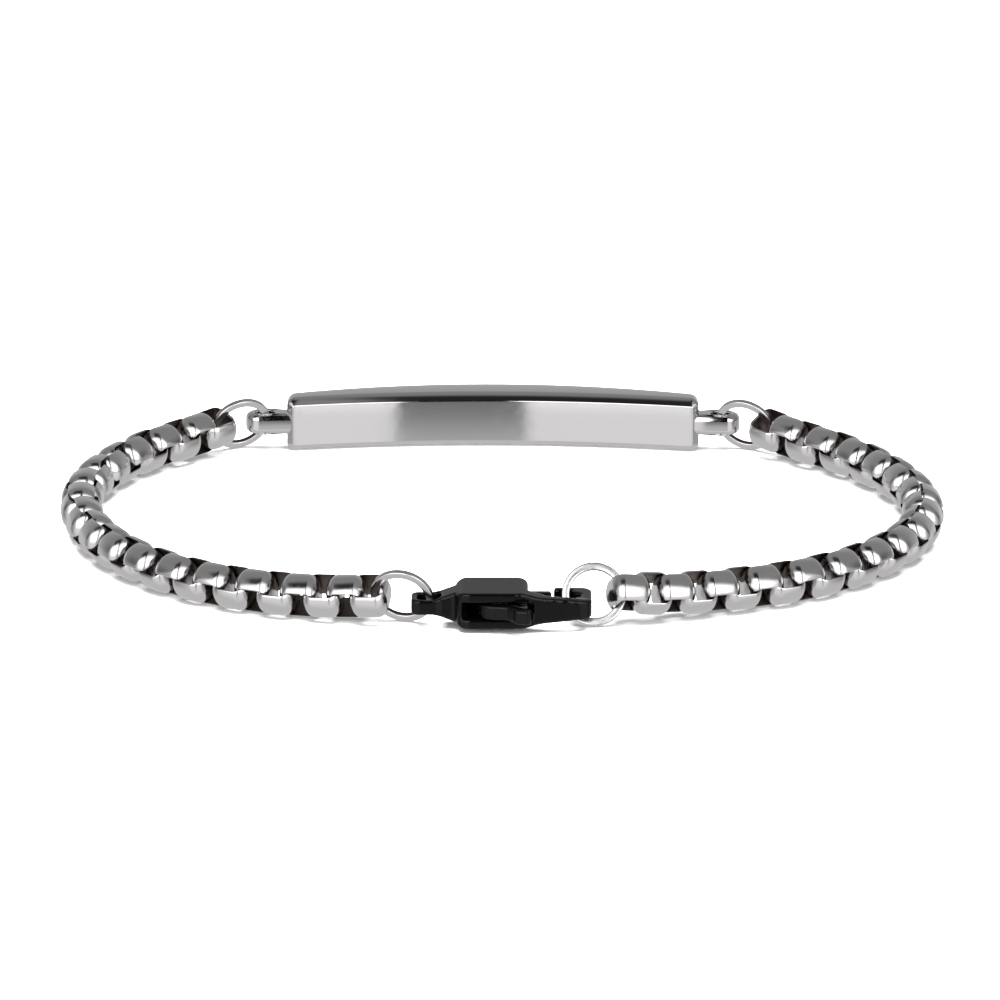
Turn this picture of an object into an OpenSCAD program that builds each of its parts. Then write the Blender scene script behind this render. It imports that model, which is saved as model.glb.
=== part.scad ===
// Identity bracelet lying closed on a flat surface. A curved name plate sits at the back and a
// lobster clasp at the front, joined by two runs of interlocked barrel-shaped box links.
// +X is to the right, +Y runs from the clasp to the name plate, +Z is up. The origin is at the
// centre of the footprint, on the surface. All sizes are in millimetres.

/* [Loop] */
// Distance from the clasp's middle to the name plate's middle
loop_depth = 54.8; // [54.4:0.1:55.2]

/* [Chain] */
// Links in each of the two runs, an odd number
links_per_run = 33; // [31:2:35]
// Outer diameter of the round section that the links share
chain_d = 4; // [3.8:0.1:4.2]
// Thickness of the flat band that a link is bent from
band_t = 0.58; // [0.5:0.01:0.6]
// Width of that band
band_w = 2.2; // [2.1:0.05:2.2]
// Free play between two links along the chain
link_play = 0.31; // [0.3:0.01:0.32]

/* [Name plate] */
// Length of the plate between its two ends, without the lugs
plate_len = 39.2; // [38:0.2:40]
// Height of the plate
plate_h = 5.25; // [5:0.05:5.6]
// Thickness of the plate at mid length
plate_t = 4; // [3.4:0.1:4.2]
// Radius of the face towards the wrist
plate_inner_r = 104; // [95:1:115]
// Radius of the outer face
plate_outer_r = 61; // [60:1:75]
// Length of each end lug
lug_len = 3.95; // [3.8:0.05:4.2]
// Depth of each end lug
lug_w = 2.55; // [2.55:0.05:2.65]
// Height of each end lug
lug_h = 2; // [1.8:0.1:2.2]
// Diameter of the hole through each lug
lug_hole_d = 1.8; // [1.75:0.05:1.85]
// Diameter of that hole's flared mouths
lug_mouth_d = 2.24; // [2.2:0.02:2.3]

/* [Rings] */
// Outer diameter of the four jump rings
ring_d = 5.8; // [5.6:0.1:6]
// Radial thickness of the ring wire
ring_wire_r = 0.7; // [0.6:0.05:0.7]
// Axial thickness of the ring wire
ring_wire_a = 0.55; // [0.5:0.05:0.6]

/* [Clasp] */
// Length of the clasp
clasp_len = 16.2; // [16:0.1:16.6]
// Height of the clasp body
clasp_h = 3.36; // [3.2:0.02:3.6]
// Depth of the clasp body from front to back
clasp_w = 5; // [4.8:0.1:5.2]
// Height of the eye's end
clasp_tip_h = 1.4; // [1.35:0.05:1.45]
// Height of the claw's end
claw_tip_h = 1.6; // [1.5:0.05:1.7]
// Height of the slot that the lever works in
slot_h = 1.6; // [1.5:0.05:1.7]
// Height of the lever
lever_h = 1.3; // [1.2:0.05:1.35]
// Diameter of the hinge pin
pin_d = 1; // [0.9:0.05:1.1]

/* [Hidden] */
$fn = 48;
over = 0.1;

// Layout before the origin is moved to the footprint's centre: the clasp's centre is at [0, 0]
clasp_lift = 0.4;
clasp_mid_z = clasp_lift + clasp_h / 2;
plate_mid = [-0.85, loop_depth];
plate_mid_z = plate_h / 2;

// Each ring's angles, its turn about Z and its lean: a positive lean brings the top forward
plate_ring_left_angles = [21.4, 23.4];
plate_ring_right_angles = [-21.1, 21.9];
clasp_ring_left_angles = [-12.3, 22.9];
clasp_ring_right_angles = [-0.6, -29.7];
// Where each ring's wire passes its hole, from the hole's centre, and where the first link of
// the run hangs in it: how far out along the ring from its centre, and how far to the back of it
plate_ring_left_offset = [0.04, -0.09, 0];
plate_ring_right_offset = [-0.01, -0.14, 0];
clasp_ring_left_offset = [0.02, -0.14, 0];
clasp_ring_right_offset = [-0.16, 0.32, 0];
plate_ring_left_hang = [2.72, -0.13];
plate_ring_right_hang = [2.77, -0.4];
clasp_ring_left_hang = [2.93, 0.03];
clasp_ring_right_hang = [3.07, -0.29];

// A run leaves its clasp ring at its first point and reaches its plate ring at its last one.
// The bends between them are for a loop of this depth, and stretch with it
bends_depth = 54.8;
left_route_bends = [[-20.3, 2.7], [-27.8, 6.7], [-33.6, 12.7], [-37.4, 20.2], [-39, 28.5],
                    [-37.8, 36.8], [-33.9, 44.2]];
right_route_bends = [[19.8, 3.6], [27.4, 7.2], [33.7, 12.9], [37.8, 20.2], [39, 28.5],
                     [37, 36.7], [32.5, 43.8]];
// Roll of the odd links at five even stations of a run: 0 is outward, 90 is up, 180 is inward
left_roll_angles = [154, 146, 118, 66, 16];
right_roll_angles = [36, 56, 48, 46, 26];
// How far the rings lift each run's ends, and the count of links in which that dies away
left_lift = [0.52, 0.62];
right_lift = [0.94, 0.65];
lift_links = 2.5;
route_steps = 16;

// A ring's wire centreline
ring_mid_r = ring_d / 2 - ring_wire_r / 2;
ring_edge_r = 0.12;

// Points of a ring: across() is level, climb() is the way up in the ring's plane
function across(angles) = [cos(angles[0]), sin(angles[0]), 0];
function climb(angles) =
    [sin(angles[0]) * sin(angles[1]), -cos(angles[0]) * sin(angles[1]), cos(angles[1])];
// The height at which a leaning ring just touches the surface
function ring_z(angles) = ring_d / 2 * cos(angles[1]) + ring_wire_a / 2 * abs(sin(angles[1]));
// Centre of a ring whose wire passes a hole's centre, with the hole on its +X side for side 1
function ring_centre(hole, angles, side) =
    let (rise = (hole[2] - ring_z(angles)) / cos(angles[1]),
         reach = sqrt(ring_mid_r * ring_mid_r - rise * rise))
    [each (hole - side * reach * across(angles) - rise * climb(angles))];
// Centre of the link that hangs in a ring, seen from above
function hung(ring, angles, hang, side) =
    [ring[0] + side * hang[0] * cos(angles[0]) - hang[1] * sin(angles[0]),
     ring[1] + side * hang[0] * sin(angles[0]) + hang[1] * cos(angles[0])];

// The lugs lie on the middle of the curved plate's ends
lug_y = -2.5;
lug_hole_inset = 1.85;
lug_hole_x = plate_len / 2 + lug_len - lug_hole_inset;
eye_inset = 1.62;
eye_y = -0.1;
claw_inset = 2.1;
claw_y = 0.25;
clasp_eye = [-clasp_len / 2 + eye_inset, eye_y, clasp_mid_z];
clasp_claw = [clasp_len / 2 - claw_inset, claw_y, clasp_mid_z];
plate_hole_left = [plate_mid[0] - lug_hole_x, plate_mid[1] + lug_y, plate_mid_z];
plate_hole_right = [plate_mid[0] + lug_hole_x, plate_mid[1] + lug_y, plate_mid_z];

plate_ring_left_at = ring_centre(plate_hole_left + plate_ring_left_offset, plate_ring_left_angles, 1);
plate_ring_right_at = ring_centre(plate_hole_right + plate_ring_right_offset, plate_ring_right_angles, -1);
clasp_ring_left_at = ring_centre(clasp_eye + clasp_ring_left_offset, clasp_ring_left_angles, 1);
clasp_ring_right_at = ring_centre(clasp_claw + clasp_ring_right_offset, clasp_ring_right_angles, -1);

function stretched(bends) = [for (b = bends) [b[0], b[1] * loop_depth / bends_depth]];
left_route = [hung(clasp_ring_left_at, clasp_ring_left_angles, clasp_ring_left_hang, -1),
              each stretched(left_route_bends),
              hung(plate_ring_left_at, plate_ring_left_angles, plate_ring_left_hang, -1)];
right_route = [hung(clasp_ring_right_at, clasp_ring_right_angles, clasp_ring_right_hang, 1),
               each stretched(right_route_bends),
               hung(plate_ring_right_at, plate_ring_right_angles, plate_ring_right_hang, 1)];

// A smooth curve through the points of a route, with extra end points by reflection
function ends_added(pts) =
    let (n = len(pts))
    [2 * pts[0] - pts[1], each pts, 2 * pts[n - 1] - pts[n - 2]];
function blend(a, b, c, d, t) =
    0.5 * (2 * b + t * (c - a) + t * t * (2 * a - 5 * b + 4 * c - d)
           + t * t * t * (3 * b - a - 3 * c + d));
function smooth_route(pts) =
    let (p = ends_added(pts))
    [for (i = [1 : len(p) - 3], k = [0 : route_steps - 1])
         blend(p[i - 1], p[i], p[i + 1], p[i + 2], k / route_steps),
     pts[len(pts) - 1]];
function run_lengths(c, i = 0, total = 0) =
    i == len(c) ? [] :
    let (sum = i == 0 ? 0 : total + norm(c[i] - c[i - 1]))
    [sum, each run_lengths(c, i + 1, sum)];

// Every link's centre, evenly spaced along the smoothed route
function link_places(route, lift) =
    let (c = smooth_route(route), s = run_lengths(c), last = links_per_run - 1,
         step = s[len(s) - 1] / last,
         xs = [for (i = [0 : len(c) - 1]) [s[i], c[i][0]]],
         ys = [for (i = [0 : len(c) - 1]) [s[i], c[i][1]]])
    [for (i = [0 : last])
         [lookup(i * step, xs), lookup(i * step, ys),
          chain_d / 2 + lift[0] * exp(-i / lift_links) + lift[1] * exp((i - last) / lift_links)]];
function link_rolls(rolls) =
    [for (i = [0 : links_per_run - 1])
         lookup(i / (links_per_run - 1), [for (k = [0 : 4]) [k / 4, rolls[k]]])];

left_places = link_places(left_route, left_lift);
right_places = link_places(right_route, right_lift);
link_pitch = norm(right_places[16] - right_places[15]);
link_len = link_pitch + 2 * band_t + link_play;

// The lever's tab is what reaches furthest forward. The footprint's centre comes from it
left_end = min([for (p = left_places) p[0]]) - chain_d / 2;
right_end = max([for (p = right_places) p[0]]) + chain_d / 2;
back_end = plate_mid[1] + plate_t / 2;
tab_size = [1.5, 1];
tab_at = [1.95, -3.75];
tab_turn = -12;
tab_r = 0.3;
front_end = tab_at[1] - tab_r - (tab_size[0] / 2 - tab_r) * abs(sin(tab_turn))
            - (tab_size[1] / 2 - tab_r) * cos(tab_turn);
foot_centre = [(left_end + right_end) / 2, (front_end + back_end) / 2, 0];

module from_origin() translate(-foot_centre) children();

// A filled rectangle with round corners, centred
module round_rect(size, r) {
    square([size[0] - 2 * r, size[1]], center = true);
    square([size[0], size[1] - 2 * r], center = true);
    for (sx = [-1, 1], sy = [-1, 1])
        translate([sx * (size[0] / 2 - r), sy * (size[1] / 2 - r)]) circle(r);
}

// One link along X: a flat band bent into a loop that is tall in Y and wide in Z
module link() {
    outer_r = 1.3;
    inner_r = 0.25;
    difference() {
        intersection() {
            linear_extrude(band_w, center = true) round_rect([link_len, chain_d + 0.1], outer_r);
            rotate([0, 90, 0]) cylinder(d = chain_d, h = link_len + over, center = true);
            rotate([90, 0, 0]) cylinder(d = link_len, h = chain_d + 2 * over, center = true);
        }
        linear_extrude(band_w + over, center = true)
            round_rect([link_len - 2 * band_t, chain_d - 2 * band_t], inner_r);
    }
}

// A run of links. A link's loop is at its roll from outward, and each next one is turned by 90
module run(places, rolls, side) {
    last = links_per_run - 1;
    for (i = [0 : last]) {
        way = places[min(i + 1, last)] - places[max(i - 1, 0)];
        turn = atan2(way[1], side * way[0]);
        pitch = atan2(way[2], norm([way[0], way[1]]));
        roll = 180 - rolls[i] - 90 * (i % 2);
        translate(places[i]) scale([side, 1, 1]) rotate([0, -pitch, turn]) rotate([roll, 0, 0]) link();
    }
}

module chain_left()
    color("silver") from_origin() run(left_places, link_rolls(left_roll_angles), -1);

module chain_right()
    color("silver") from_origin() run(right_places, link_rolls(right_roll_angles), 1);

// A flat-wire ring, standing on its edge and leaning
module jump_ring(centre, angles) {
    translate([centre[0], centre[1], ring_z(angles)]) rotate([90 + angles[1], 0, angles[0]])
        rotate_extrude()
            translate([ring_mid_r, 0]) round_rect([ring_wire_r, ring_wire_a], ring_edge_r);
}

module plate_ring_left()
    color("lightgray") from_origin() jump_ring(plate_ring_left_at, plate_ring_left_angles);

module plate_ring_right()
    color("lightgray") from_origin() jump_ring(plate_ring_right_at, plate_ring_right_angles);

module clasp_ring_left()
    color("lightgray") from_origin() jump_ring(clasp_ring_left_at, clasp_ring_left_angles);

module clasp_ring_right()
    color("lightgray") from_origin() jump_ring(clasp_ring_right_at, clasp_ring_right_angles);

// The curved bar: what two round slabs share, one for each face, and a block with round corners
module plate_bar() {
    edge_in = 0.7;
    edge_out = 0.5;
    end_r = 0.8;
    intersection() {
        translate([0, plate_t / 2 - plate_outer_r, plate_mid_z])
            rotate_extrude($fn = 360)
                intersection() {
                    round_rect([2 * plate_outer_r, plate_h], edge_out);
                    translate([0, -plate_h / 2]) square([plate_outer_r, plate_h]);
                }
        translate([0, -plate_t / 2 - plate_inner_r, plate_mid_z])
            rotate_extrude($fn = 360)
                translate([plate_inner_r + plate_t, 0]) round_rect([2 * plate_t, plate_h], edge_in);
        translate([0, 0, plate_mid_z]) rotate([90, 0, 0])
            linear_extrude(2 * plate_t, center = true) round_rect([plate_len, plate_h + over], end_r);
    }
}

// A lug: a flat bar with a round end and a vertical hole that flares at both mouths
module lug() {
    root = 0.4;
    flare_h = 0.7;
    difference() {
        translate([0, 0, plate_mid_z]) linear_extrude(lug_h, center = true) {
            translate([-root, -lug_w / 2]) square([lug_len + root - lug_w / 2, lug_w]);
            translate([lug_len - lug_w / 2, 0]) circle(lug_w / 2);
        }
        translate([lug_hole_x - plate_len / 2, 0, plate_mid_z]) {
            cylinder(d = lug_hole_d, h = lug_h + over, center = true);
            for (side = [-1, 1])
                scale([1, 1, side]) translate([0, 0, lug_h / 2 - flare_h])
                    cylinder(d1 = lug_hole_d, d2 = lug_mouth_d, h = flare_h);
        }
    }
}

module id_plate() {
    color("silver") from_origin() translate([plate_mid[0], plate_mid[1], 0]) {
        plate_bar();
        for (side = [-1, 1])
            scale([side, 1, 1]) translate([plate_len / 2, lug_y, 0]) lug();
    }
}

// The clasp, seen from above, with its eye to the left and its claw to the right
eye_w = 2.8;
eye_len = 2.8;
eye_slot = [2.1, 1.9];
eye_r = 0.6;
body_x = [-4.1, 2.4];
body_r = 1.1;
claw_front_y = -2.1;
claw_back_y = 2.3;
front_arm_w = 0.95;
front_arm_root = 1.4;
back_arm_w = 0.8;
claw_end_w = 1;
claw_mouth_x = 4.7;
hinge_at = [-0.3, 0.75];
window_x = [-3, 2.75];
window_back_y = 1.9;
window_facet = [0.8, 1.1];
gate_slot_x = 0.9;

module clasp_outline() {
    tip_r = 0.9;
    half = clasp_len / 2;
    // cheek block
    translate([(body_x[0] + body_x[1]) / 2, 0]) round_rect([body_x[1] - body_x[0], clasp_w], body_r);
    // neck and eye
    translate([(clasp_eye[0] + body_x[0]) / 2, clasp_eye[1]])
        square([body_x[0] - clasp_eye[0] + 2, eye_w - 0.3], center = true);
    translate([-half + eye_len / 2, clasp_eye[1]]) round_rect([eye_len, eye_w], eye_r);
    // front arm, from the block to the claw's end
    polygon([[body_x[1] - body_r, -clasp_w / 2], [half - tip_r, claw_front_y],
             [half - tip_r, claw_front_y + front_arm_w],
             [body_x[1] - body_r, claw_front_y + front_arm_root]]);
    // claw's end and back arm
    translate([half - tip_r, claw_front_y + tip_r]) circle(tip_r);
    translate([half - claw_end_w, claw_front_y + tip_r])
        square([claw_end_w, claw_back_y - claw_front_y - 2 * tip_r]);
    translate([half - tip_r, claw_back_y - tip_r]) circle(tip_r);
    translate([claw_mouth_x, claw_back_y - back_arm_w])
        square([half - tip_r - claw_mouth_x, back_arm_w]);
}

// The clasp, seen from the front: a tall body between two tapered ends
module clasp_profile() {
    half = clasp_len / 2;
    neck_h = 2.3;
    neck_x = [-6, -4.8];
    crown_x = [-3.4, 1.9];
    shoulder = [3.4, 1.25];
    upper = [[-half, clasp_tip_h / 2], [neck_x[0], clasp_tip_h / 2], [neck_x[1], neck_h / 2],
             [crown_x[0], clasp_h / 2], [crown_x[1], clasp_h / 2], shoulder, [half, claw_tip_h / 2]];
    for (side = [-1, 1])
        scale([1, side]) polygon([[-half, 0], each upper, [half, 0]]);
}

module clasp_body() {
    color("#18181a") from_origin() translate([0, 0, clasp_mid_z]) {
        difference() {
            intersection() {
                linear_extrude(clasp_h, center = true) clasp_outline();
                rotate([90, 0, 0]) linear_extrude(2 * clasp_w, center = true) clasp_profile();
            }
            // eye
            translate([clasp_eye[0], clasp_eye[1]])
                linear_extrude(clasp_h, center = true) round_rect(eye_slot, eye_r);
            // lever slot, open to the front, to the claw and to the back beside the gate. Its end
            // towards the eye is cut back to a slanting facet
            linear_extrude(slot_h, center = true)
                polygon([[window_x[0] - window_facet[0], -clasp_w], [window_x[1], -clasp_w],
                         [window_x[1], window_back_y], [window_x[0], window_back_y],
                         [window_x[0], window_facet[1] - clasp_w / 2],
                         [window_x[0] - window_facet[0], -clasp_w / 2]]);
            translate([gate_slot_x, 0, -slot_h / 2]) cube([claw_mouth_x - gate_slot_x, clasp_w, slot_h]);
            // the claw's back arm is no higher than its end
            for (side = [-1, 1])
                scale([1, 1, side])
                    translate([claw_mouth_x - back_arm_w, claw_front_y + front_arm_w, claw_tip_h / 2])
                        cube([clasp_len, clasp_w, clasp_h]);
        }
        translate([hinge_at[0], hinge_at[1]]) cylinder(d = pin_d, h = slot_h + 0.6, center = true);
    }
}

// The lever: a barrel on the pin, a gate that closes the claw and a curved tongue that comes out
// through the window to the thumb tab
module clasp_lever() {
    barrel_r = 1;
    gate_w = 0.85;
    gate_y = 1.75;
    gate_x = 2.4;
    gate_root = [-0.9, 0.65];
    tip_gap = 0.2;
    tongue_at = [-0.45, -1.15];
    tongue_r = 1.8;
    tongue_t = 0.95;
    tongue_reach = 4;
    neck = [[-0.3, -2.94], [0.5, -3.05], [1.25, -3.9], [2.3, -3.5], [1.3, -2.35], [0.1, -1.8]];
    bore_d = pin_d + 0.15;
    color("#18181a") from_origin() translate([0, 0, clasp_mid_z]) difference() {
        linear_extrude(lever_h, center = true) {
            translate(hinge_at) circle(barrel_r);
            // gate
            polygon([[hinge_at[0], hinge_at[1] + gate_root[0]], [gate_x, gate_y - gate_w],
                     [claw_mouth_x - tip_gap, gate_y - gate_w], [claw_mouth_x - tip_gap, gate_y],
                     [gate_x, gate_y], [hinge_at[0], hinge_at[1] + gate_root[1]]]);
            // tongue, from the barrel round to the front
            translate(tongue_at) intersection() {
                difference() {
                    circle(tongue_r);
                    circle(tongue_r - tongue_t);
                }
                polygon([[0, 0], [0, tongue_reach], [-tongue_reach, tongue_reach],
                         [-tongue_reach, -tongue_reach], [tongue_reach / 2, -tongue_reach]]);
            }
            polygon(neck);
            // tab
            translate(tab_at) rotate(tab_turn) round_rect(tab_size, tab_r);
        }
        translate(hinge_at) cylinder(d = bore_d, h = lever_h + over, center = true);
    }
}

id_plate();
plate_ring_left();
plate_ring_right();
clasp_ring_left();
clasp_ring_right();
chain_left();
chain_right();
clasp_body();
clasp_lever();
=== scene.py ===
"""The looks of an identity bracelet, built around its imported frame.

Lengths are in metres and share the frame of the CAD part: +X to the right, +Y from the clasp to the
name plate, +Z up, with the origin on the surface under the middle of the bracelet.
"""

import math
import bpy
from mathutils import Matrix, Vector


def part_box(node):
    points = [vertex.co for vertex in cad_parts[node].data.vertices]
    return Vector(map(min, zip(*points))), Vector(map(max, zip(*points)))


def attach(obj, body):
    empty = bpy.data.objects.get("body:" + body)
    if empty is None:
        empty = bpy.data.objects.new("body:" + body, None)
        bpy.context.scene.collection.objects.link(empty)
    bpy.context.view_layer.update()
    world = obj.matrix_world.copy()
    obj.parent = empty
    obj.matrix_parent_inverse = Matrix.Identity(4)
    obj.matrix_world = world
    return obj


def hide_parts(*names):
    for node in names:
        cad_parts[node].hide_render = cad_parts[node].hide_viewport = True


bl_info = {
    "name": "ID Bracelet",
    "version": (1, 0, 0),
    "blender": (4, 5, 0),
    "location": "3D View > Sidebar > Bracelet",
    "description": "Dresses the packed frame of an identity bracelet in polished steel and gloss black",
    "category": "Object",
}

import bmesh
import bpy
from bpy.props import FloatProperty, FloatVectorProperty, IntProperty, PointerProperty
from mathutils import Matrix, Vector

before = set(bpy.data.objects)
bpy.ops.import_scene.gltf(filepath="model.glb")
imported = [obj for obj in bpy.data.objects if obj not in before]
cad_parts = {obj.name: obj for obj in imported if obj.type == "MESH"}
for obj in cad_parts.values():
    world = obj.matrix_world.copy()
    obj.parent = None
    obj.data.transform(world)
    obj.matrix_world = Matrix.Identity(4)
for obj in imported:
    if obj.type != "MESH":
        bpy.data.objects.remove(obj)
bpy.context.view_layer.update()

MM = 0.001
MAIN_BODY = "bracelet"
LEVER_BODY = "lever"
# How near two measures have to be to count as one, in metres
NEAR = 1e-6
# Folds from which an edge is shown sharp, and from which it counts as a square one
SHARP_FOLD = math.radians(50)
SQUARE_FOLD = math.radians(60)


def middle(node):
    """The centre of a CAD node's box."""
    low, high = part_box(node)
    return (low + high) / 2


# The clasp's centre is where the chains' routes are measured from, in millimetres
CLASP_AT = middle("clasp_body")
LEFT_BENDS = (
    (-20.3, 2.7), (-27.8, 6.7), (-33.6, 12.7), (-37.4, 20.2), (-39.0, 28.5), (-37.8, 36.8), (-33.9, 44.2),
)
RIGHT_BENDS = (
    (19.8, 3.6), (27.4, 7.2), (33.7, 12.9), (37.8, 20.2), (39.0, 28.5), (37.0, 36.7), (32.5, 43.8),
)
# Roll of the odd links, in degrees, at five even stations: 0 is outward and 90 is up
LEFT_ROLLS = (154, 146, 118, 66, 16)
RIGHT_ROLLS = (36, 56, 48, 46, 26)
# How many links the lift at the end of a run reaches, and the points of a route between two bends
LIFT_LINKS = 2.5
ROUTE_STEPS = 16

# Steps round a link's corners, layers across its band, and the folds of its outer rims. Its inner rims
# fold more
LINK_CORNERS = 9
LINK_LAYERS = 10
RIM_FOLDS = (math.radians(35), math.radians(80))

# Stations along the plate's bar and loops across its top, as shares of its thickness from the middle.
# The loops stay between its slanting edge and its back edge
BAR_STATIONS = 56
BAR_LOOPS = (-0.225, -0.1, 0.025, 0.15, 0.275)
# A lug's root is narrowed to this share, so that it stays within the bar
ROOT_TAPER = 0.85

# A thin wall that closes the claw's end of the clasp's window: its centre and its sides, in millimetres
WINDOW_END = ((2.6, -1.35, 0), (0.6, 0.8, 1.7))

# Each ring's turn about Z and lean, in degrees, the side its run is on, where the run's end link hangs
# in it, out along the ring and to the back from its centre, and that link's lift, in millimetres
RINGS = {
    "plate_ring_left": {"turn": 21.4, "lean": 23.4, "hang": (2.72, -0.13), "side": -1, "lift": 0.62},
    "plate_ring_right": {"turn": -21.1, "lean": 21.9, "hang": (2.77, -0.4), "side": 1, "lift": 0.65},
    "clasp_ring_left": {"turn": -12.3, "lean": 22.9, "hang": (2.93, 0.03), "side": -1, "lift": 0.52},
    "clasp_ring_right": {"turn": -0.6, "lean": -29.7, "hang": (3.07, -0.29), "side": 1, "lift": 0.94},
}


# Settings


class BraceletChain(bpy.types.PropertyGroup):
    """Sizes of the links and of the runs that they make."""

    links: IntProperty(name="Links per run", description="Links in each of the two runs", default=33, min=3)
    diameter: FloatProperty(
        name="Diameter", description="Diameter of the round section that the links share",
        default=4 * MM, unit="LENGTH",
    )
    band_t: FloatProperty(
        name="Band thickness", description="Thickness of a link's band", default=0.58 * MM, unit="LENGTH"
    )
    band_w: FloatProperty(
        name="Band width", description="Width of a link's band", default=2.5 * MM, unit="LENGTH"
    )
    play: FloatProperty(
        name="Play", description="Free play between two links", default=0.31 * MM, unit="LENGTH"
    )
    outer_r: FloatProperty(
        name="Outer corner", description="Radius of a link's outer corners", default=0.95 * MM, unit="LENGTH"
    )
    end_r: FloatProperty(
        name="End dome", description="Radius to which a link's ends are domed", default=3 * MM, unit="LENGTH"
    )
    bulge_r: FloatProperty(
        name="Bulge", description="Radius to which a link's long sides bulge", default=5.6 * MM, unit="LENGTH"
    )
    inner_r: FloatProperty(
        name="Inner corner", description="Radius of a link's inner corners", default=0.3 * MM, unit="LENGTH"
    )
    rim: FloatProperty(
        name="Rim", description="Width of the polished rim along a band", default=0.07 * MM, unit="LENGTH"
    )


class BraceletRings(bpy.types.PropertyGroup):
    """Sizes of the four jump rings."""

    diameter: FloatProperty(
        name="Diameter", description="Outer diameter of a ring", default=5.79 * MM, unit="LENGTH"
    )
    radial: FloatProperty(
        name="Radial thickness", description="Wire size across the ring", default=0.7 * MM, unit="LENGTH"
    )
    axial: FloatProperty(
        name="Axial thickness", description="Wire size along the ring's axis",
        default=0.55 * MM, unit="LENGTH",
    )
    edge: FloatProperty(
        name="Edge", description="Radius of the wire's edges", default=0.12 * MM, unit="LENGTH"
    )


class BraceletPlate(bpy.types.PropertyGroup):
    """Sizes of the name plate and its lugs."""

    length: FloatProperty(
        name="Length", description="Length without the lugs", default=39.2 * MM, unit="LENGTH"
    )
    thickness: FloatProperty(
        name="Thickness", description="Thickness at mid length", default=4 * MM, unit="LENGTH"
    )
    inner_r: FloatProperty(
        name="Inner radius", description="Radius of the face towards the wrist",
        default=104 * MM, unit="LENGTH",
    )
    outer_r: FloatProperty(
        name="Outer radius", description="Radius of the outer face", default=61 * MM, unit="LENGTH"
    )
    corner: FloatProperty(
        name="Corner", description="Radius of the four corners seen from the wrist",
        default=0.8 * MM, unit="LENGTH",
    )
    edge: FloatProperty(
        name="Edge", description="Size of the slanting edge round the inner face",
        default=0.6 * MM, unit="LENGTH",
    )
    fold: FloatProperty(
        name="Fold", description="Radius between the inner face and its slanting edge",
        default=0.04 * MM, unit="LENGTH",
    )
    dome_r: FloatProperty(
        name="Top dome", description="Radius to which the top is domed", default=20 * MM, unit="LENGTH"
    )
    back_edge: FloatProperty(
        name="Back edge", description="Radius of the edge round the outer face",
        default=0.45 * MM, unit="LENGTH",
    )
    lug_w: FloatProperty(name="Lug depth", description="Depth of a lug", default=2.55 * MM, unit="LENGTH")
    lug_h: FloatProperty(name="Lug height", description="Height of a lug", default=2 * MM, unit="LENGTH")
    lug_y: FloatProperty(
        name="Lug place", description="From the middle of the bar to the middle of a lug, along Y",
        default=-2.5 * MM, unit="LENGTH",
    )
    lug_root: FloatProperty(
        name="Lug root", description="How far a lug runs into the bar", default=0.6 * MM, unit="LENGTH"
    )
    lug_edge: FloatProperty(
        name="Lug edge", description="Radius of a lug's edges", default=0.62 * MM, unit="LENGTH"
    )
    hole_d: FloatProperty(
        name="Hole", description="Diameter of the hole in a lug", default=1.8 * MM, unit="LENGTH"
    )
    hole_in: FloatProperty(
        name="Hole inset", description="From a lug's tip to its hole's centre",
        default=1.85 * MM, unit="LENGTH",
    )
    hole_edge: FloatProperty(
        name="Hole edge", description="Radius of the hole's mouths", default=0.2 * MM, unit="LENGTH"
    )


class BraceletClasp(bpy.types.PropertyGroup):
    """How softly the clasp's edges are rounded."""

    grain: FloatProperty(
        name="Grain", description="Size of the mesh that rounds the clasp", default=0.085 * MM, unit="LENGTH"
    )
    rounds: IntProperty(name="Rounding", description="Smoothing passes over the clasp", default=14, min=0)


class BraceletFinish(bpy.types.PropertyGroup):
    """Colours and gloss of the metals."""

    steel: FloatVectorProperty(
        name="Steel", description="Colour of the polished steel", subtype="COLOR", size=4,
        default=(0.70, 0.69, 0.70, 1), min=0, max=1,
    )
    # Painted shade: the darker brown of the faces inside the links and rings stands in for the shade and
    # reflections between them
    inside: FloatVectorProperty(
        name="Inside of links", description="Darker colour of the faces inside the links and rings, painted shade",
        subtype="COLOR", size=4, default=(0.15, 0.125, 0.11, 1), min=0, max=1,
    )
    black: FloatVectorProperty(
        name="Black", description="Colour of the clasp's coating", subtype="COLOR", size=4,
        default=(0.0008, 0.0008, 0.001, 1), min=0, max=1,
    )
    link_rough: FloatProperty(
        name="Link roughness", description="Roughness of the links", subtype="FACTOR",
        default=0.17, min=0, max=1,
    )
    plate_rough: FloatProperty(
        name="Plate roughness", description="Roughness of the plate", subtype="FACTOR",
        default=0.07, min=0, max=1,
    )


class BraceletStage(bpy.types.PropertyGroup):
    """The floor, the light and the camera."""

    floor: FloatProperty(name="Floor", description="Side of the floor", default=4, unit="LENGTH")
    lamp_d: FloatProperty(
        name="Lamp", description="Diameter of the soft lamp above", default=1.4, unit="LENGTH"
    )
    lamp_power: FloatProperty(
        name="Lamp power", description="Power of the soft lamp above", default=70, unit="POWER"
    )
    camera_d: FloatProperty(
        name="Camera distance", description="From the camera to its target", default=0.81, unit="LENGTH"
    )
    camera_e: FloatProperty(
        name="Camera angle", description="Height of the camera above the floor",
        subtype="ANGLE", default=math.radians(18),
    )
    camera_roll: FloatProperty(
        name="Camera roll", description="Turn of the camera about its view",
        subtype="ANGLE", default=math.radians(0.143),
    )
    lens: FloatProperty(name="Lens", description="Focal length on a 36 mm frame", default=313.7, min=1)


# Mesh tools


def sag(radius, reach):
    """How far an arc falls away from its top at a distance from it."""
    return radius - math.sqrt(radius**2 - reach**2)


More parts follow.
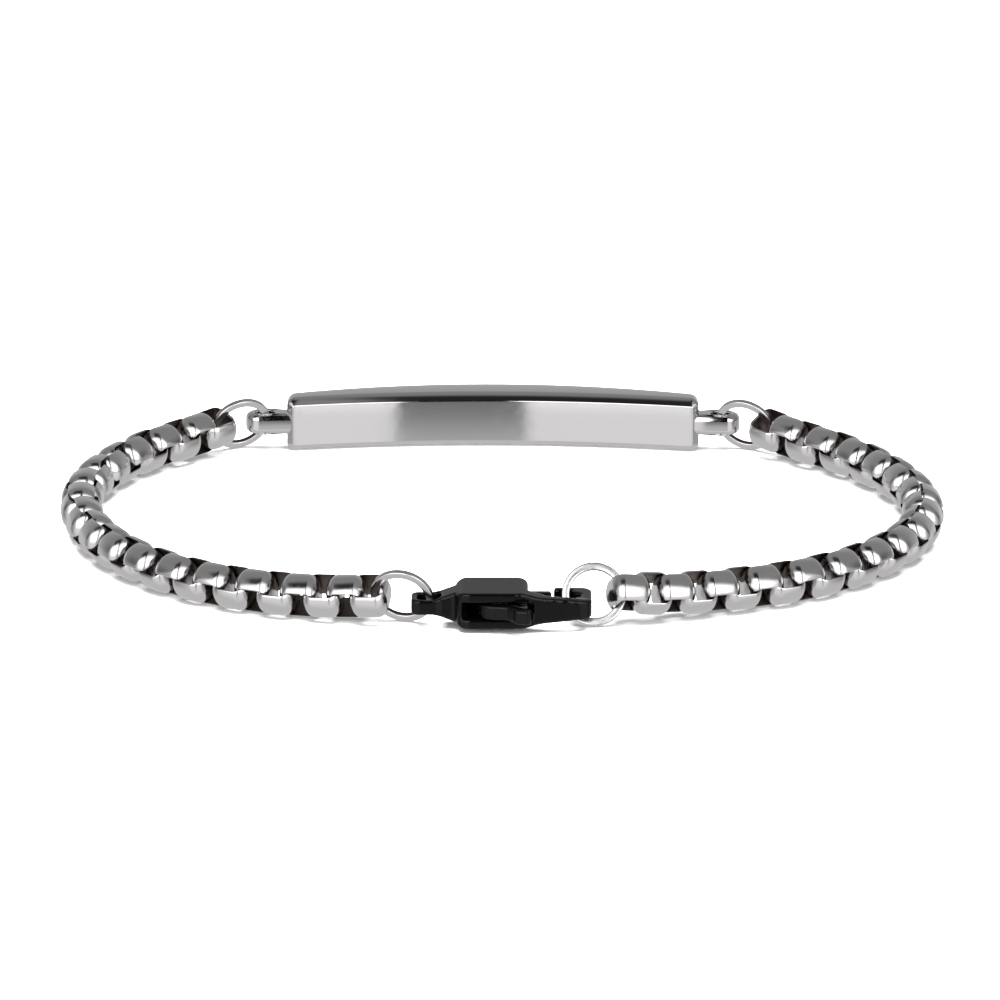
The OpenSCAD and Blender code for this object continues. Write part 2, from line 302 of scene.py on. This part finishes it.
def round_rect(bm, size, radius, steps):
    """Adds a face with round corners in the XY plane and returns it."""
    signs = ((-1, -1), (1, -1), (1, 1), (-1, 1))
    corners = [bm.verts.new((x * size[0] / 2, y * size[1] / 2, 0)) for x, y in signs]
    known = set(bm.faces)
    bm.faces.new(corners)
    bmesh.ops.bevel(
        bm, geom=corners, offset=radius, offset_type="OFFSET", segments=steps, profile=0.5,
        affect="VERTICES", clamp_overlap=False, material=-1,
    )
    return next(f for f in bm.faces if f not in known)


def outline(bm, size, radius, steps):
    """Adds the edges of a rectangle with round corners in the XY plane and returns them."""
    face = round_rect(bm, size, radius, steps)
    edges = list(face.edges)
    bmesh.ops.delete(bm, geom=[face], context="FACES_ONLY")
    return edges


def raise_faces(bm, faces, height):
    """Gives flat faces a thickness, half above and half below them."""
    raised = bmesh.ops.extrude_face_region(bm, geom=faces)["geom"]
    top = [g for g in raised if isinstance(g, bmesh.types.BMVert)]
    bmesh.ops.translate(bm, vec=(0, 0, height), verts=top)
    bmesh.ops.translate(bm, vec=(0, 0, -height / 2), verts=bm.verts)


def stand_up(bm):
    """Turns what lies in the XY plane up into the XZ plane."""
    bmesh.ops.rotate(bm, cent=(0, 0, 0), matrix=Matrix.Rotation(math.pi / 2, 3, "X"), verts=bm.verts)


def cut(bm, point, normal):
    """Adds a loop of edges where a plane meets the mesh."""
    bmesh.ops.bisect_plane(
        bm, geom=bm.verts[:] + bm.edges[:] + bm.faces[:], plane_co=point, plane_no=normal, dist=NEAR / 10
    )


def round_edges(bm, edges, radius, steps):
    """Rounds edges to a radius and returns the new faces."""
    return bmesh.ops.bevel(
        bm, geom=edges, offset=radius, offset_type="OFFSET", segments=steps, profile=0.5,
        affect="EDGES", clamp_overlap=False, material=-1,
    )["faces"]


def place_copy(bm, mesh, place):
    """Adds a copy of a mesh at a place."""
    known = len(bm.verts)
    bm.from_mesh(mesh)
    bm.verts.ensure_lookup_table()
    bmesh.ops.transform(bm, matrix=place, verts=bm.verts[known:])


def finish_mesh(bm, name):
    """Turns a bmesh into a mesh with smooth faces and sharp edges where it folds."""
    bmesh.ops.recalc_face_normals(bm, faces=bm.faces)
    for face in bm.faces:
        face.smooth = True
    for edge in bm.edges:
        edge.smooth = edge.is_manifold and edge.calc_face_angle() < SHARP_FOLD
    mesh = bpy.data.meshes.new(name)
    bm.to_mesh(mesh)
    bm.free()
    return mesh


def add_piece(mesh, name, body, slot, materials, *nodes):
    """Puts a finished mesh in the scene as a piece that rides on a body in place of CAD nodes."""
    piece = bpy.data.objects.new(name, mesh)
    bpy.context.collection.objects.link(piece)
    for material in materials:
        mesh.materials.append(material)
    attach(piece, body)
    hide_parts(*nodes)


# Chain


def across(ring):
    """The level direction along a ring, towards +X."""
    turn = math.radians(RINGS[ring]["turn"])
    return Vector((math.cos(turn), math.sin(turn)))


def hung(ring):
    """Centre of the link that hangs in a ring, seen from above."""
    out, back = (v * MM for v in RINGS[ring]["hang"])
    along = across(ring)
    return middle(ring).to_2d() + RINGS[ring]["side"] * out * along + back * Vector((-along.y, along.x))


def smooth_route(points):
    """Points along a smooth curve through the given ones."""
    p = [2 * points[0] - points[1], *points, 2 * points[-1] - points[-2]]
    curve = []
    for a, b, c, d in zip(p, p[1:], p[2:], p[3:]):
        for k in range(ROUTE_STEPS):
            t = k / ROUTE_STEPS
            curve.append(
                0.5 * (2 * b + t * (c - a) + t * t * (2 * a - 5 * b + 4 * c - d)
                       + t**3 * (3 * b - a - 3 * c + d))
            )
    return [*curve, points[-1]]


def along_curve(curve, share):
    """The point at a share of a curve's length."""
    steps = [(b - a).length for a, b in zip(curve, curve[1:])]
    left = share * sum(steps)
    for a, b, step in zip(curve, curve[1:], steps):
        if left <= step:
            return a.lerp(b, left / step)
        left -= step
    return curve[-1]


def link_places(first_ring, last_ring, bends, links, radius):
    """Every link's centre, evenly spaced from one ring to the other."""
    origin = CLASP_AT.to_2d()
    points = [hung(first_ring), *(origin + Vector(b) * MM for b in bends), hung(last_ring)]
    curve = smooth_route(points)
    last = links - 1
    lifts = [RINGS[r]["lift"] * MM for r in (first_ring, last_ring)]
    places = []
    for i in range(links):
        x, y = along_curve(curve, i / last)
        z = radius + lifts[0] * math.exp(-i / LIFT_LINKS) + lifts[1] * math.exp((i - last) / LIFT_LINKS)
        places.append(Vector((x, y, z)))
    return places


def roll_at(rolls, share):
    """A roll between the stations of a run."""
    at = share * (len(rolls) - 1)
    i = min(int(at), len(rolls) - 2)
    return rolls[i] + (rolls[i + 1] - rolls[i]) * (at - i)


def in_bore(point, chain, length):
    """True where a point of a link isn't past its inner wall."""
    reach = length / 2 - chain.band_t + NEAR
    rise = chain.diameter / 2 - chain.band_t + NEAR
    return abs(point.x) < reach and abs(point.y) < rise


def dome_link(bm, chain, length):
    """Domes the outer wall of a link: its ends and its long sides, which also bulge along the run."""
    for v in bm.verts:
        if not in_bore(v.co, chain, length):
            v.co.x *= 1 - 2 * sag(chain.end_r, v.co.z) / length
            v.co.y *= math.sqrt(1 - (2 * v.co.z / chain.diameter) ** 2)
            v.co.y -= math.copysign(v.co.x**2 / (2 * chain.bulge_r), v.co.y)
    bm.normal_update()


def link_mesh(chain, length):
    """One link: a flat band bent into a loop, domed outwards all round like a barrel."""
    height, t = chain.diameter, chain.band_t
    bm = bmesh.new()
    edges = outline(bm, (length, height), chain.outer_r, steps=LINK_CORNERS)
    edges += outline(bm, (length - 2 * t, height - 2 * t), chain.inner_r, steps=LINK_CORNERS)
    bmesh.ops.bridge_loops(bm, edges=edges)
    raise_faces(bm, bm.faces[:], chain.band_w)
    for k in range(1, LINK_LAYERS):
        cut(bm, (0, 0, chain.band_w * (k / LINK_LAYERS - 0.5)), (0, 0, 1))
    dome_link(bm, chain, length)
    brim = chain.band_w / 2 - NEAR
    rims = [
        e for e in bm.edges
        if all(abs(v.co.z) > brim for v in e.verts) and RIM_FOLDS[0] < e.calc_face_angle() < RIM_FOLDS[1]
    ]
    round_edges(bm, rims, chain.rim, steps=2)
    # The wall of the bore gets the rougher inside material, whose darker colour is painted shade; the flat
    # sides of the band do not
    for face in bm.faces:
        if in_bore(face.calc_center_median(), chain, length) and abs(face.normal.z) < 0.5:
            face.material_index = 1
    return finish_mesh(bm, "link")


def build_run(name, places, rolls, side, chain, materials):
    """A run of links in one mesh. Each link is turned by 90 degrees from the one before."""
    half, last = len(places) // 2, len(places) - 1
    pitch = (places[half] - places[half - 1]).length
    link = link_mesh(chain, pitch + 2 * chain.band_t + chain.play)
    mirror = Matrix.Diagonal((side, 1, 1, 1))
    bm = bmesh.new()
    for i, place in enumerate(places):
        way = places[min(i + 1, last)] - places[max(i - 1, 0)]
        turn = math.atan2(way.y, side * way.x)
        climb = math.atan2(way.z, way.to_2d().length)
        roll = math.radians(180 - roll_at(rolls, i / last) - 90 * (i % 2))
        pose = Matrix.Rotation(turn, 4, "Z") @ Matrix.Rotation(-climb, 4, "Y") @ Matrix.Rotation(roll, 4, "X")
        place_copy(bm, link, Matrix.Translation(place) @ mirror @ pose @ mirror)
    mesh = bpy.data.meshes.new(name)
    bm.to_mesh(mesh)
    bm.free()
    bpy.data.meshes.remove(link)
    add_piece(mesh, name + "_steel", MAIN_BODY, "polished_steel", materials, name)


# Rings and plate


def build_ring(name, sizes, materials):
    """A jump ring of flat wire, standing on its edge and leaning."""
    bm = bmesh.new()
    outline(bm, (sizes.radial, sizes.axial), sizes.edge, steps=3)
    stand_up(bm)
    bmesh.ops.translate(bm, vec=((sizes.diameter - sizes.radial) / 2, 0, 0), verts=bm.verts)
    bmesh.ops.spin(
        bm, geom=bm.verts[:] + bm.edges[:], cent=(0, 0, 0), axis=(0, 0, 1), angle=2 * math.pi,
        steps=96, use_merge=True, use_duplicate=False,
    )
    # The faces of the bore get the rougher inside material, whose darker colour is painted shade inside the
    # ring
    bore, slack = sizes.diameter / 2 - sizes.radial, 0.02 * MM
    for face in bm.faces:
        if face.calc_center_median().to_2d().length < bore + slack:
            face.material_index = 1
    turn, lean = (math.radians(RINGS[name][k]) for k in ("turn", "lean"))
    pose = Matrix.Rotation(turn, 4, "Z") @ Matrix.Rotation(math.pi / 2 + lean, 4, "X")
    bmesh.ops.transform(bm, matrix=Matrix.Translation(middle(name)) @ pose, verts=bm.verts)
    add_piece(finish_mesh(bm, name), name + "_steel", MAIN_BODY, "ring_steel", materials, name)


def bend_bar(bm, sizes, height):
    """Domes the top of a straight bar and bends its two faces to their radii."""
    for v in bm.verts:
        v.co.z -= max(v.co.z, 0) / height * v.co.y**2 / sizes.dome_r
        share = v.co.y / sizes.thickness + 0.5
        inner, outer = (sag(radius, v.co.x) for radius in (sizes.inner_r, sizes.outer_r))
        v.co.y -= inner + (outer - inner) * share


def face_folds(bm, slant, sizes):
    """The edges where the slanting faces meet the bar's inner face."""
    def on_face(v):
        return v.co.y + sag(sizes.inner_r, v.co.x) < (sizes.edge - sizes.thickness) / 2

    return [e for e in bm.edges if slant.intersection(e.link_faces) and all(map(on_face, e.verts))]


def build_bar(bm, sizes, height, centre):
    """The curved bar of the plate, with a slanting edge round its inner face and a round one behind."""
    face = round_rect(bm, (sizes.length, height), sizes.corner, steps=6)
    raise_faces(bm, [face], sizes.thickness)
    stand_up(bm)
    for k in range(1, BAR_STATIONS):
        cut(bm, (sizes.length * (k / BAR_STATIONS - 0.5), 0, 0), (1, 0, 0))
    for share in BAR_LOOPS:
        cut(bm, (0, share * sizes.thickness, 0), (0, 1, 0))
    square = [e for e in bm.edges if e.calc_face_angle() > SQUARE_FOLD]
    front = [e for e in square if all(v.co.y < 0 for v in e.verts)]
    back = [e for e in square if all(v.co.y > 0 for v in e.verts)]
    bend_bar(bm, sizes, height)
    round_edges(bm, back, sizes.back_edge, steps=5)
    slant = set(round_edges(bm, front, sizes.edge, steps=1))
    round_edges(bm, face_folds(bm, slant, sizes), sizes.fold, steps=2)
    # Loops beside the edges keep the flat faces flat in the light
    beside = 0.05 * MM
    for side in (-1, 1):
        for inset in (sizes.edge, sizes.back_edge):
            cut(bm, (0, 0, side * (height / 2 - inset - beside)), (0, 0, 1))
            cut(bm, (side * (sizes.length / 2 - inset - beside), 0, 0), (1, 0, 0))
    bmesh.ops.translate(bm, vec=centre, verts=bm.verts)


def lug_mesh(sizes, length):
    """A lug along +X from x = 0: a flat bar with a round tip, soft edges and a hole that flares."""
    bm = bmesh.new()
    # A hair under half the width, so that the bevels of two corners don't meet
    round_rect(bm, (2 * length, sizes.lug_w), sizes.lug_w / 2 * 0.999, steps=14)
    cut(bm, (-sizes.lug_root, 0, 0), (1, 0, 0))
    past_root = [v for v in bm.verts if v.co.x < -sizes.lug_root - NEAR]
    bmesh.ops.delete(bm, geom=past_root, context="VERTS")
    bmesh.ops.delete(bm, geom=bm.faces[:], context="FACES_ONLY")
    hole_at = Vector((length - sizes.hole_in, 0))
    hole = bmesh.ops.create_circle(bm, cap_ends=False, segments=32, radius=sizes.hole_d / 2)["verts"]
    bmesh.ops.translate(bm, vec=hole_at.to_3d(), verts=hole)
    bmesh.ops.triangle_fill(bm, use_beauty=True, use_dissolve=False, edges=bm.edges[:])
    raise_faces(bm, bm.faces[:], sizes.lug_h)
    square = [e for e in bm.edges if e.calc_face_angle() > SQUARE_FOLD]
    rims = [e for e in square if abs(e.verts[0].co.z - e.verts[1].co.z) < NEAR]
    reach = sizes.hole_d / 2 + 10 * NEAR
    mouths = [e for e in rims if all((v.co.to_2d() - hole_at).length < reach for v in e.verts)]
    outer = [e for e in rims if e not in mouths]
    round_edges(bm, mouths, sizes.hole_edge, steps=3)
    round_edges(bm, outer, sizes.lug_edge, steps=6)
    for v in bm.verts:
        if v.co.x < -sizes.lug_root / 2:
            v.co.y *= ROOT_TAPER
    return finish_mesh(bm, "lug")


def build_plate(sizes, materials):
    """The name plate: a curved bar with a drilled lug at each end."""
    low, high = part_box("id_plate")
    height = high.z - low.z
    centre = Vector(((low.x + high.x) / 2, high.y - sizes.thickness / 2, height / 2))
    bm = bmesh.new()
    build_bar(bm, sizes, height, centre)
    lug = lug_mesh(sizes, (high.x - low.x - sizes.length) / 2)
    for side, turn in ((-1, math.pi), (1, 0)):
        root = Matrix.Translation(centre + Vector((side * sizes.length / 2, sizes.lug_y, 0)))
        place_copy(bm, lug, root @ Matrix.Rotation(turn, 4, "Z"))
    bpy.data.meshes.remove(lug)
    mesh = finish_mesh(bm, "id_plate")
    add_piece(mesh, "id_plate_steel", MAIN_BODY, "polished_steel", materials, "id_plate")


# Clasp


def build_cast(node, body, sizes, material, walls=()):
    """A cast piece of the clasp: the CAD node's own shape with its edges softly rounded.

    Walls are boxes in millimetres about the clasp's centre, each given by its centre and its sides.
    """
    bm = bmesh.new()
    bm.from_mesh(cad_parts[node].data)
    bmesh.ops.remove_doubles(bm, verts=bm.verts, dist=NEAR)
    for centre, sides in walls:
        place = Matrix.Translation(CLASP_AT + Vector(centre) * MM)
        bmesh.ops.create_cube(bm, size=1, matrix=place @ Matrix.Diagonal((*(v * MM for v in sides), 1)))
    mesh = bpy.data.meshes.new(node)
    bm.to_mesh(mesh)
    bm.free()
    rough = bpy.data.objects.new(node + "_rough", mesh)
    bpy.context.collection.objects.link(rough)
    grain = rough.modifiers.new("grain", "REMESH")
    grain.mode = "VOXEL"
    grain.voxel_size = sizes.grain
    grain.use_smooth_shade = True
    seen = rough.evaluated_get(bpy.context.evaluated_depsgraph_get())
    cast = bpy.data.meshes.new_from_object(seen)
    bpy.data.objects.remove(rough)
    bpy.data.meshes.remove(mesh)
    bm = bmesh.new()
    bm.from_mesh(cast)
    for _ in range(sizes.rounds):
        bmesh.ops.smooth_vert(
            bm, verts=bm.verts, factor=0.5, use_axis_x=True, use_axis_y=True, use_axis_z=True
        )
    for face in bm.faces:
        face.smooth = True
    bm.to_mesh(cast)
    bm.free()
    cast.materials.clear()
    add_piece(cast, node + "_black", body, "black_clasp", [material], node)


# Finishes


# Where most values of a noise lie
NOISE_RANGE = (0.3, 0.7)
# How finely and by what share a metal's roughness changes over its surface
GLOSS_SCALE = 900
GLOSS_CHANGE = 0.3
# The black coating, by its index of refraction, its gloss and its waves
BLACK_IOR = 1.33
BLACK_GLOSS = {"scale": 1200, "low": 0.04, "high": 0.08}
BLACK_WAVES = {"scale": 1500, "depth": 0.004 * MM}


def node_material(name):
    """A new material with its node tree and its shader."""
    material = bpy.data.materials.new(name)
    material.use_nodes = True
    return material, material.node_tree, material.node_tree.nodes["Principled BSDF"]


def noise(tree, scale, detail):
    """Noise in the piece's own coordinates."""
    place = tree.nodes.new("ShaderNodeTexCoord")
    texture = tree.nodes.new("ShaderNodeTexNoise")
    texture.inputs["Scale"].default_value = scale
    texture.inputs["Detail"].default_value = detail
    tree.links.new(place.outputs["Object"], texture.inputs["Vector"])
    return texture.outputs["Fac"]


def vary_gloss(tree, shader, scale, low, high):
    """Lets the roughness wander between two values."""
    node = tree.nodes.new("ShaderNodeMapRange")
    node.inputs["From Min"].default_value, node.inputs["From Max"].default_value = NOISE_RANGE
    node.inputs["To Min"].default_value = low
    node.inputs["To Max"].default_value = high
    tree.links.new(noise(tree, scale, detail=3), node.inputs["Value"])
    tree.links.new(node.outputs["Result"], shader.inputs["Roughness"])


def add_waves(tree, shader, scale, depth):
    """Gives the surface faint waves."""
    bump = tree.nodes.new("ShaderNodeBump")
    bump.inputs["Strength"].default_value = 1
    bump.inputs["Distance"].default_value = depth
    tree.links.new(noise(tree, scale, detail=2), bump.inputs["Height"])
    tree.links.new(bump.outputs["Normal"], shader.inputs["Normal"])


def metal(name, colour, rough, wave, wave_scale):
    """Polished metal with faint waves in its surface and small changes of gloss."""
    material, tree, shader = node_material(name)
    shader.inputs["Base Color"].default_value = colour
    shader.inputs["Metallic"].default_value = 1
    vary_gloss(tree, shader, GLOSS_SCALE, rough * (1 - GLOSS_CHANGE), rough * (1 + GLOSS_CHANGE))
    add_waves(tree, shader, wave_scale, wave)
    return material


def gloss_black(name, colour):
    """Black coating with a clear gloss."""
    material, tree, shader = node_material(name)
    shader.inputs["Base Color"].default_value = colour
    shader.inputs["IOR"].default_value = BLACK_IOR
    vary_gloss(tree, shader, **BLACK_GLOSS)
    add_waves(tree, shader, **BLACK_WAVES)
    return material


# Stage


# Places in the studio are angles in degrees: over is up from the front horizon and on over the top, and
# aside is to the right. Every edge is soft, and is given by where it starts and where it ends.
# Floor, ceiling, wall behind and side walls, each as an angle, an edge and the levels before and after it
WALLS = (
    ("over", (-70, -20), (0.66, 0.92)),
    ("over", (56, 68), (1, 0.3)),
    ("over", (125, 178), (1, 1.75)),
    ("either side", (48, 78), (1, 0.5)),
)
# The two bright screens, as one band with a gap in its middle
SCREENS = {"over": ((-10, 8), (38, 60)), "either side": (42, 60), "level": 1.6}
# The gap between the screens, which gets narrower and darker higher up
GAP = {
    "over": ((-44, -28), (60, 66)), "aside": 3, "edge": (-0.4, 0.4),
    "narrows": (-10, 20), "half": (6.2, 5), "darkens": (-26, 6), "share": (0.33, 1),
}
# The dark patch above the screens
PATCH = {"over": ((56, 63), (74, 112)), "aside": ((-42, -26), (4, 11)), "level": 0.08}
STUDIO_TINT = (1, 0.995, 0.985, 1)

FLOOR_COLOUR = (0.9, 0.9, 0.9, 1)
FLOOR_GLOSS = {"scale": 30, "low": 0.85, "high": 0.95}
LAMP_AT = (0, -0.05, 1.2)
# What the camera is aimed at, in millimetres from the clasp's centre
CAMERA_AIM = (-0.15, 30.18)


class Sky:
    """Builds the light around the bracelet from simple sums of soft-edged regions."""

    def __init__(self, world):
        world.use_nodes = True
        self.tree = world.node_tree
        self.tree.nodes.clear()
        place = self.tree.nodes.new("ShaderNodeTexCoord")
        split = self.tree.nodes.new("ShaderNodeSeparateXYZ")
        self.tree.links.new(place.outputs["Generated"], split.inputs["Vector"])
        self.x, self.y, self.z = (split.outputs[k] for k in "XYZ")

    def do(self, operation, *values):
        """One step of arithmetic on sockets and numbers."""
        node = self.tree.nodes.new("ShaderNodeMath")
        node.operation = operation
        for socket, value in zip(node.inputs, values):
            if isinstance(value, (int, float)):
                socket.default_value = value
            else:
                self.tree.links.new(value, socket)
        return node.outputs["Value"]

    def product(self, first, *others):
        """The product of sockets and numbers."""
        for other in others:
            first = self.do("MULTIPLY", first, other)
        return first

    def degrees(self, angle):
        """An angle in degrees."""
        return self.do("MULTIPLY", angle, math.degrees(1))

    def step(self, value, edge, levels=(0, 1)):
        """A soft step over an edge, from one level to another."""
        node = self.tree.nodes.new("ShaderNodeMapRange")
        node.interpolation_type = "SMOOTHSTEP"
        for name, number in zip(("From Min", "From Max", "To Min", "To Max"), (*edge, *levels)):
            node.inputs[name].default_value = number
        self.tree.links.new(value, node.inputs["Value"])
        return node.outputs["Result"]

    def between(self, value, low_edge, high_edge):
        """1 between two soft edges and 0 outside them."""
        return self.do("MULTIPLY", self.step(value, low_edge), self.step(value, high_edge, (1, 0)))

    def finish(self, strength):
        """Sends a strength to the world's output."""
        background = self.tree.nodes.new("ShaderNodeBackground")
        background.inputs["Color"].default_value = STUDIO_TINT
        out = self.tree.nodes.new("ShaderNodeOutputWorld")
        self.tree.links.new(strength, background.inputs["Strength"])
        self.tree.links.new(background.outputs["Background"], out.inputs["Surface"])


def light_world():
    """Soft studio light: two bright screens in front, a dark patch over them and pale walls around."""
    world = bpy.data.worlds.new("studio")
    bpy.context.scene.world = world
    sky = Sky(world)
    over = sky.degrees(sky.do("ARCTAN2", sky.z, sky.do("MULTIPLY", sky.y, -1)))
    aside = sky.degrees(sky.do("ARCSINE", sky.x))
    angles = {"over": over, "either side": sky.do("ABSOLUTE", aside)}
    level = sky.product(*(sky.step(angles[angle], edge, levels) for angle, edge, levels in WALLS))
    reach = sky.step(angles["either side"], SCREENS["either side"], (1, 0))
    screens = sky.product(sky.between(over, *SCREENS["over"]), reach, SCREENS["level"])
    level = sky.do("ADD", level, screens)
    from_gap = sky.do("ABSOLUTE", sky.do("SUBTRACT", aside, GAP["aside"]))
    past_gap = sky.do("SUBTRACT", from_gap, sky.step(over, GAP["narrows"], GAP["half"]))
    gap = sky.product(
        sky.step(past_gap, GAP["edge"], (1, 0)),
        sky.between(over, *GAP["over"]),
        sky.step(over, GAP["darkens"], GAP["share"]),
    )
    patch = sky.product(sky.between(over, *PATCH["over"]), sky.between(aside, *PATCH["aside"]))
    shade = sky.step(patch, (0, 1), (1, PATCH["level"]))
    sky.finish(sky.product(level, sky.do("SUBTRACT", 1, gap), shade))


def add_lamp(size, power):
    """A soft lamp above the bracelet, aimed at it. The metal doesn't mirror it."""
    data = bpy.data.lights.new("overhead", "AREA")
    data.shape = "DISK"
    data.size = size
    data.energy = power
    lamp = bpy.data.objects.new("overhead", data)
    bpy.context.collection.objects.link(lamp)
    lamp.location = LAMP_AT
    lamp.rotation_euler = (-Vector(LAMP_AT)).to_track_quat("-Z", "Y").to_euler()
    lamp.visible_glossy = False


def build_floor(side):
    """A plain pale floor under the bracelet. The metal mirrors the studio and not the floor."""
    bm = bmesh.new()
    bmesh.ops.create_grid(bm, x_segments=1, y_segments=1, size=side / 2)
    mesh = bpy.data.meshes.new("floor")
    bm.to_mesh(mesh)
    bm.free()
    floor = bpy.data.objects.new("floor", mesh)
    bpy.context.collection.objects.link(floor)
    material, tree, shader = node_material("pale_floor")
    shader.inputs["Base Color"].default_value = FLOOR_COLOUR
    vary_gloss(tree, shader, **FLOOR_GLOSS)
    mesh.materials.append(material)
    floor.visible_glossy = False


def build_camera(stage, height):
    """The camera at the photograph's angle, aimed at a height over the middle of the bracelet."""
    data = bpy.data.cameras.new("camera")
    data.sensor_width = 36
    data.lens = stage.lens
    data.clip_start = 0.01
    data.clip_end = 20
    camera = bpy.data.objects.new("camera", data)
    bpy.context.collection.objects.link(camera)
    x, y = CLASP_AT.to_2d() + Vector(CAMERA_AIM) * MM
    back = Vector((0, -math.cos(stage.camera_e), math.sin(stage.camera_e)))
    camera.location = Vector((x, y, height)) + stage.camera_d * back
    aim = Matrix.Rotation(math.pi / 2 - stage.camera_e, 3, "X") @ Matrix.Rotation(stage.camera_roll, 3, "Z")
    camera.rotation_euler = aim.to_euler()
    bpy.context.scene.camera = camera


# Operators


class BRACELET_OT_chains(bpy.types.Operator):
    """Build the two runs of barrel-shaped links"""

    bl_idname = "bracelet.chains"
    bl_label = "Chains"

    def execute(self, context):
        chain, finish = context.scene.bracelet_chain, context.scene.bracelet_finish
        materials = [
            metal("link_steel", finish.steel, finish.link_rough, wave=0.012 * MM, wave_scale=800),
            # The second material is rougher, and its darker colour is painted shade inside the links
            metal("link_inside_painted_shade", finish.inside, rough=0.4, wave=0.01 * MM, wave_scale=1500),
        ]
        radius = chain.diameter / 2
        left = link_places("clasp_ring_left", "plate_ring_left", LEFT_BENDS, chain.links, radius)
        right = link_places("clasp_ring_right", "plate_ring_right", RIGHT_BENDS, chain.links, radius)
        build_run("chain_left", left, LEFT_ROLLS, -1, chain, materials)
        build_run("chain_right", right, RIGHT_ROLLS, 1, chain, materials)
        return {"FINISHED"}


class BRACELET_OT_rings(bpy.types.Operator):
    """Build the four jump rings"""

    bl_idname = "bracelet.rings"
    bl_label = "Rings"

    def execute(self, context):
        finish = context.scene.bracelet_finish
        materials = [
            metal("ring_steel", finish.steel, rough=0.22, wave=0.002 * MM, wave_scale=900),
            # The second material is rougher, and its darker colour is painted shade inside the rings
            metal("ring_inside_painted_shade", finish.inside, rough=0.4, wave=0.01 * MM, wave_scale=1500),
        ]
        for name in RINGS:
            build_ring(name, context.scene.bracelet_rings, materials)
        return {"FINISHED"}


class BRACELET_OT_plate(bpy.types.Operator):
    """Build the name plate with its lugs"""

    bl_idname = "bracelet.plate"
    bl_label = "Name plate"

    def execute(self, context):
        finish = context.scene.bracelet_finish
        steel = metal("plate_steel", finish.steel, finish.plate_rough, wave=0.002 * MM, wave_scale=500)
        build_plate(context.scene.bracelet_plate, [steel])
        return {"FINISHED"}


class BRACELET_OT_clasp(bpy.types.Operator):
    """Build the clasp's body and its lever"""

    bl_idname = "bracelet.clasp"
    bl_label = "Clasp"

    def execute(self, context):
        sizes = context.scene.bracelet_clasp
        material = gloss_black("clasp_black", context.scene.bracelet_finish.black)
        build_cast("clasp_body", MAIN_BODY, sizes, material, [WINDOW_END])
        build_cast("clasp_lever", LEVER_BODY, sizes, material)
        return {"FINISHED"}


class BRACELET_OT_stage(bpy.types.Operator):
    """Set up the floor, the light and the camera"""

    bl_idname = "bracelet.stage"
    bl_label = "Stage"

    def execute(self, context):
        stage = context.scene.bracelet_stage
        context.scene.view_settings.view_transform = "Standard"
        build_floor(stage.floor)
        light_world()
        add_lamp(stage.lamp_d, stage.lamp_power)
        build_camera(stage, context.scene.bracelet_chain.diameter / 2)
        return {"FINISHED"}


class BRACELET_PT_panel(bpy.types.Panel):
    """Lists the bracelet's pieces and their sizes"""

    bl_idname = "BRACELET_PT_panel"
    bl_label = "ID Bracelet"
    bl_space_type = "VIEW_3D"
    bl_region_type = "UI"
    bl_category = "Bracelet"

    def draw(self, context):
        layout = self.layout
        for operator, group in (
            (BRACELET_OT_chains, "bracelet_chain"),
            (BRACELET_OT_rings, "bracelet_rings"),
            (BRACELET_OT_plate, "bracelet_plate"),
            (BRACELET_OT_clasp, "bracelet_clasp"),
            (BRACELET_OT_stage, "bracelet_stage"),
        ):
            box = layout.box()
            box.operator(operator.bl_idname)
            settings = getattr(context.scene, group)
            for name in settings.__annotations__:
                box.prop(settings, name)
        finish = layout.box()
        for name in BraceletFinish.__annotations__:
            finish.prop(context.scene.bracelet_finish, name)


SETTINGS = {
    "bracelet_chain": BraceletChain,
    "bracelet_rings": BraceletRings,
    "bracelet_plate": BraceletPlate,
    "bracelet_clasp": BraceletClasp,
    "bracelet_finish": BraceletFinish,
    "bracelet_stage": BraceletStage,
}
CLASSES = (
    *SETTINGS.values(),
    BRACELET_OT_chains,
    BRACELET_OT_rings,
    BRACELET_OT_plate,
    BRACELET_OT_clasp,
    BRACELET_OT_stage,
    BRACELET_PT_panel,
)


def register():
    for cls in CLASSES:
        bpy.utils.register_class(cls)
    for name, group in SETTINGS.items():
        setattr(bpy.types.Scene, name, PointerProperty(type=group))


def unregister():
    for name in SETTINGS:
        delattr(bpy.types.Scene, name)
    for cls in reversed(CLASSES):
        bpy.utils.unregister_class(cls)


def main():
    register()
    bpy.ops.bracelet.chains()
    bpy.ops.bracelet.rings()
    bpy.ops.bracelet.plate()
    bpy.ops.bracelet.clasp()
    bpy.ops.bracelet.stage()


if __name__ == "__main__":
    main()
